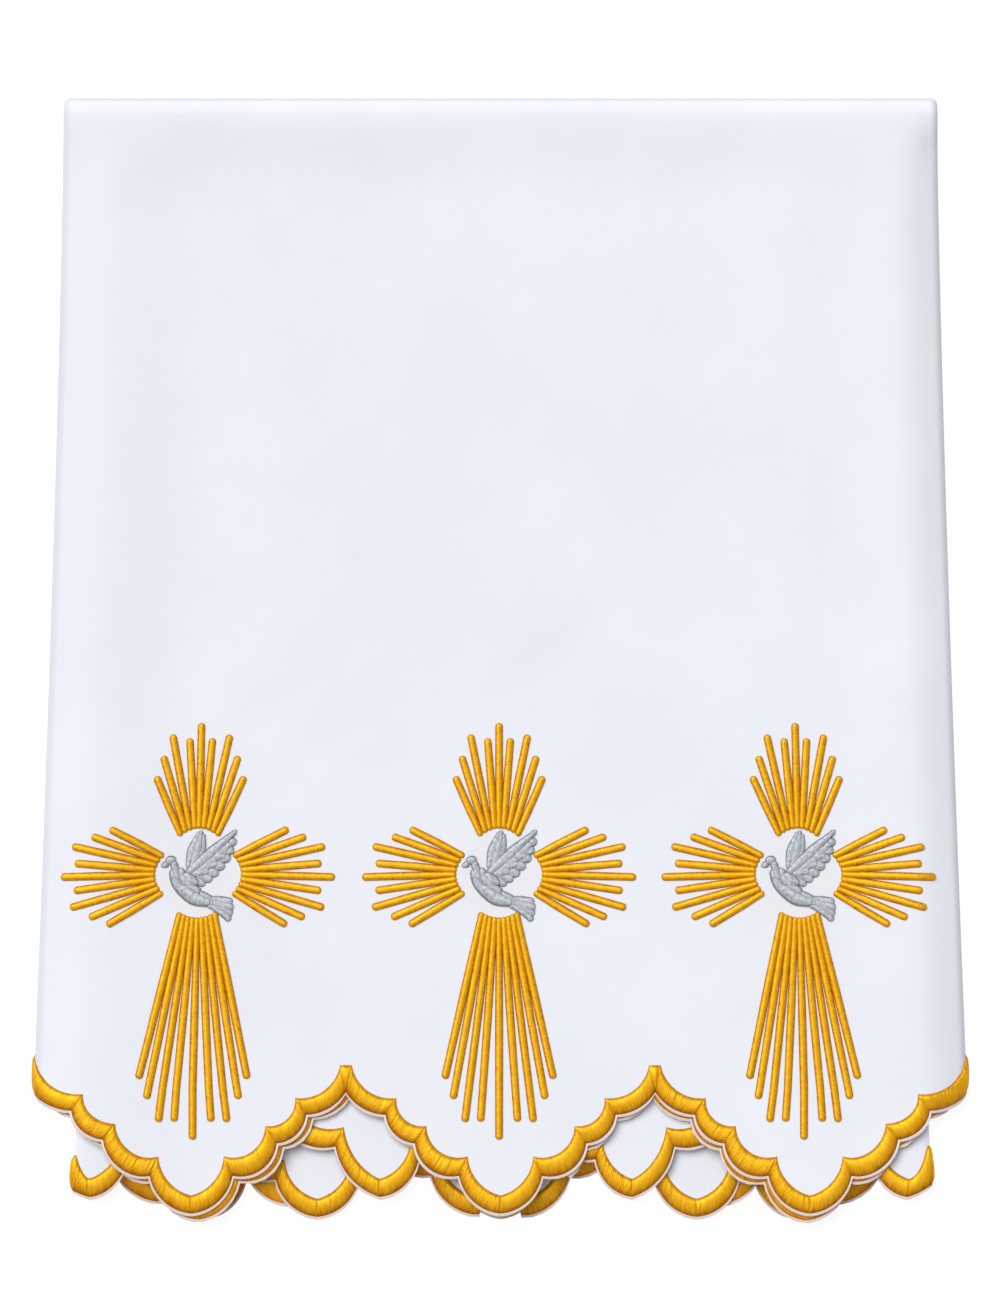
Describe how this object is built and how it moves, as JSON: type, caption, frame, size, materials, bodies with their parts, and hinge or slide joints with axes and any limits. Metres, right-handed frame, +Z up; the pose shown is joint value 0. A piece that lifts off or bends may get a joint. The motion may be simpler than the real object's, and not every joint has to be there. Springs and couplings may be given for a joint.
{
  "type": "folded altar cloth",
  "caption": "White altar cloth folded flat, with a scalloped gold satin-stitch hem and embroidered crosses of rays around a dove.",
  "frame": {"origin": "middle of the underside of the folded cloth, on the surface it lies on", "axes": "+Y towards the top fold, from the scalloped hem; +X to the right as seen from above; +Z up, out of the embroidered side"},
  "size_m": [0.5162, 0.6192, 0.0203],
  "materials": {
    "white_cloth": "matt closely woven cloth",
    "gold_thread": "shiny satin stitch",
    "silver_thread": "shiny satin stitch"
  },
  "bodies": {
    "root": {"cloth": "white_cloth", "edge_front": "gold_thread", "edge_inner_left": "gold_thread", "edge_inner_right": "gold_thread", "edge_rear_left": "gold_thread", "edge_rear_right": "gold_thread", "rays_left_up": "gold_thread", "rays_left_left": "gold_thread", "rays_left_down": "gold_thread", "rays_left_right": "gold_thread", "rays_middle_up": "gold_thread", "rays_middle_left": "gold_thread", "rays_middle_down": "gold_thread", "rays_middle_right": "gold_thread", "rays_right_up": "gold_thread", "rays_right_left": "gold_thread", "rays_right_down": "gold_thread", "rays_right_right": "gold_thread", "dove_left": "silver_thread", "dove_middle": "silver_thread", "dove_right": "silver_thread"}
  },
  "joints": []
}
